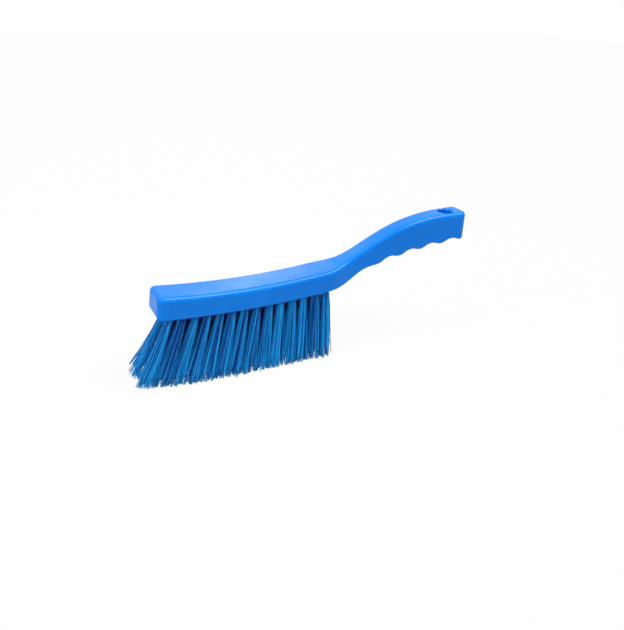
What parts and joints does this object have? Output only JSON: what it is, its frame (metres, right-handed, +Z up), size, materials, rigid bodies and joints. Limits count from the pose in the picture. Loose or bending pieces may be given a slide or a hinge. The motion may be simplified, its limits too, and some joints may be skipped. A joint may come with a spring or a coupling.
{
  "type": "hand broom",
  "caption": "Hand broom with a moulded block, a raised curved handle with finger grooves and a hanging hole, and staple-set bristle tufts in staggered rows that fan out at the toe.",
  "frame": {"origin": "on the floor that the bristle tips stand on, under the middle of the overall box", "axes": "+X along the broom from the toe of the block to the end of the handle, +Z up from the tips to the block's back, +Y across the block"},
  "size_m": [0.3484, 0.0374, 0.1339],
  "materials": {
    "brush_plastic": "satin blue polypropylene",
    "bristle_fibre": "satin blue monofilament",
    "staple_wire": "drawn wire"
  },
  "bodies": {
    "root": {"brush_body": "brush_plastic", "staples": "staple_wire", "tuft_far_inner_01": "bristle_fibre", "tuft_far_inner_02": "bristle_fibre", "tuft_far_inner_03": "bristle_fibre", "tuft_far_inner_04": "bristle_fibre", "tuft_far_inner_05": "bristle_fibre", "tuft_far_inner_06": "bristle_fibre", "tuft_far_inner_07": "bristle_fibre", "tuft_far_inner_08": "bristle_fibre", "tuft_far_inner_09": "bristle_fibre", "tuft_far_inner_10": "bristle_fibre", "tuft_far_inner_11": "bristle_fibre", "tuft_far_inner_12": "bristle_fibre", "tuft_far_inner_13": "bristle_fibre", "tuft_far_inner_14": "bristle_fibre", "tuft_far_outer_01": "bristle_fibre", "tuft_far_outer_02": "bristle_fibre", "tuft_far_outer_03": "bristle_fibre", "tuft_far_outer_04": "bristle_fibre", "tuft_far_outer_05": "bristle_fibre", "tuft_far_outer_06": "bristle_fibre", "tuft_far_outer_07": "bristle_fibre", "tuft_far_outer_08": "bristle_fibre", "tuft_far_outer_09": "bristle_fibre", "tuft_far_outer_10": "bristle_fibre", "tuft_far_outer_11": "bristle_fibre", "tuft_far_outer_12": "bristle_fibre", "tuft_far_outer_13": "bristle_fibre", "tuft_near_inner_01": "bristle_fibre", "tuft_near_inner_02": "bristle_fibre", "tuft_near_inner_03": "bristle_fibre", "tuft_near_inner_04": "bristle_fibre", "tuft_near_inner_05": "bristle_fibre", "tuft_near_inner_06": "bristle_fibre", "tuft_near_inner_07": "bristle_fibre", "tuft_near_inner_08": "bristle_fibre", "tuft_near_inner_09": "bristle_fibre", "tuft_near_inner_10": "bristle_fibre", "tuft_near_inner_11": "bristle_fibre", "tuft_near_inner_12": "bristle_fibre", "tuft_near_inner_13": "bristle_fibre", "tuft_near_outer_01": "bristle_fibre", "tuft_near_outer_02": "bristle_fibre", "tuft_near_outer_03": "bristle_fibre", "tuft_near_outer_04": "bristle_fibre", "tuft_near_outer_05": "bristle_fibre", "tuft_near_outer_06": "bristle_fibre", "tuft_near_outer_07": "bristle_fibre", "tuft_near_outer_08": "bristle_fibre", "tuft_near_outer_09": "bristle_fibre", "tuft_near_outer_10": "bristle_fibre", "tuft_near_outer_11": "bristle_fibre", "tuft_near_outer_12": "bristle_fibre", "tuft_near_outer_13": "bristle_fibre", "tuft_near_outer_14": "bristle_fibre"}
  },
  "joints": []
}
